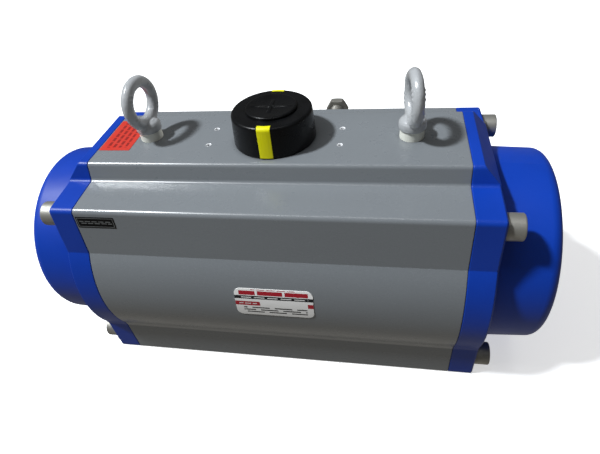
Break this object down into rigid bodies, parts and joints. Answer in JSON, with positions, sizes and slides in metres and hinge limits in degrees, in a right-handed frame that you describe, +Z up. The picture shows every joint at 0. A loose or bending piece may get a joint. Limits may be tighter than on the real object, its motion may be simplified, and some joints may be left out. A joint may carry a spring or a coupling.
{
  "type": "rotary pneumatic actuator",
  "caption": "Rack-and-pinion pneumatic actuator that turns a valve stem a quarter turn, with domed end caps, square drive socket, end stops, position indicator and lifting eyes.",
  "frame": {"origin": "centre of the valve flange on the underside, on the drive axis", "axes": "+Z up along the drive shaft, +X along the cylinder bore, -Y towards the nameplate side; the stop screws and air ports are on the +Y side"},
  "size_m": [0.527, 0.2674, 0.2972],
  "materials": {
    "body_paint": "satin paint over extruded aluminium",
    "cap_paint": "semi-gloss paint over cast aluminium",
    "stainless": "dull zinc-plated and stainless steel",
    "eyebolt_paint": "glossy paint over forged steel",
    "spacer_plastic": "moulded, slightly translucent",
    "seal_rubber": "moulded nitrile rubber",
    "bearing_plastic": "machined acetal",
    "pinion_steel": "machined and nickel-plated steel",
    "spring_steel": "phosphated spring steel",
    "piston_aluminium": "machined die-cast aluminium",
    "indicator_black": "satin moulded plastic",
    "indicator_yellow": "moulded plastic",
    "plate_film": "printed polyester film",
    "warning_film": "printed polyester film",
    "ports_film": "printed polyester film"
  },
  "bodies": {
    "housing": {"body": "body_paint", "end_cap_left": "cap_paint", "end_cap_right": "cap_paint", "cap_seal_left": "seal_rubber", "cap_seal_right": "seal_rubber", "channel_seal_left": "seal_rubber", "channel_seal_right": "seal_rubber", "cap_bolts_left": "stainless", "cap_bolts_right": "stainless", "stop_nuts": "stainless", "stop_washers": "stainless", "eyebolt_left": "eyebolt_paint", "eyebolt_right": "eyebolt_paint", "eyebolt_spacer_left": "spacer_plastic", "eyebolt_spacer_right": "spacer_plastic", "upper_bearing": "bearing_plastic", "lower_bearing": "bearing_plastic", "nameplate": "plate_film", "warning_label": "warning_film", "ports_label": "ports_film"},
    "drive": {"pinion": "pinion_steel", "stop_cam": "pinion_steel", "pinion_upper_seal": "seal_rubber", "pinion_lower_seal": "seal_rubber", "thrust_washer": "bearing_plastic", "circlip": "spring_steel", "indicator_cup": "indicator_black", "indicator_cap": "indicator_black", "indicator_strips": "indicator_yellow", "indicator_screw": "stainless"},
    "piston_left_body": {"piston_left": "piston_aluminium", "piston_seal_left": "seal_rubber", "guide_band_left": "bearing_plastic", "rack_pad_left": "bearing_plastic"},
    "piston_right_body": {"piston_right": "piston_aluminium", "piston_seal_right": "seal_rubber", "guide_band_right": "bearing_plastic", "rack_pad_right": "bearing_plastic"},
    "stop_left": {"stop_screw_left": "stainless"},
    "stop_right": {"stop_screw_right": "stainless"}
  },
  "joints": [
    {"name": "drive_turn", "type": "hinge", "parent": "housing", "child": "drive", "pos_m": [0, 0, 0], "axis": [0, 0, 1], "range_deg": [0, 90]},
    {"name": "piston_left_slide", "type": "slide", "parent": "housing", "child": "piston_left_body", "axis": [-1, 0, 0], "range_m": [0, 0.0629]},
    {"name": "piston_right_slide", "type": "slide", "parent": "housing", "child": "piston_right_body", "axis": [1, 0, 0], "range_m": [0, 0.0629]},
    {"name": "stop_left_adjust", "type": "slide", "parent": "housing", "child": "stop_left", "axis": [0, 1, 0], "range_m": [0, 0.004]},
    {"name": "stop_right_adjust", "type": "slide", "parent": "housing", "child": "stop_right", "axis": [0, 1, 0], "range_m": [0, 0.004]}
  ],
  "couplings": [
    {"joint": "piston_left_slide", "follows": "drive_turn", "m_per_rad": 0.04},
    {"joint": "piston_right_slide", "follows": "drive_turn", "m_per_rad": 0.04}
  ]
}
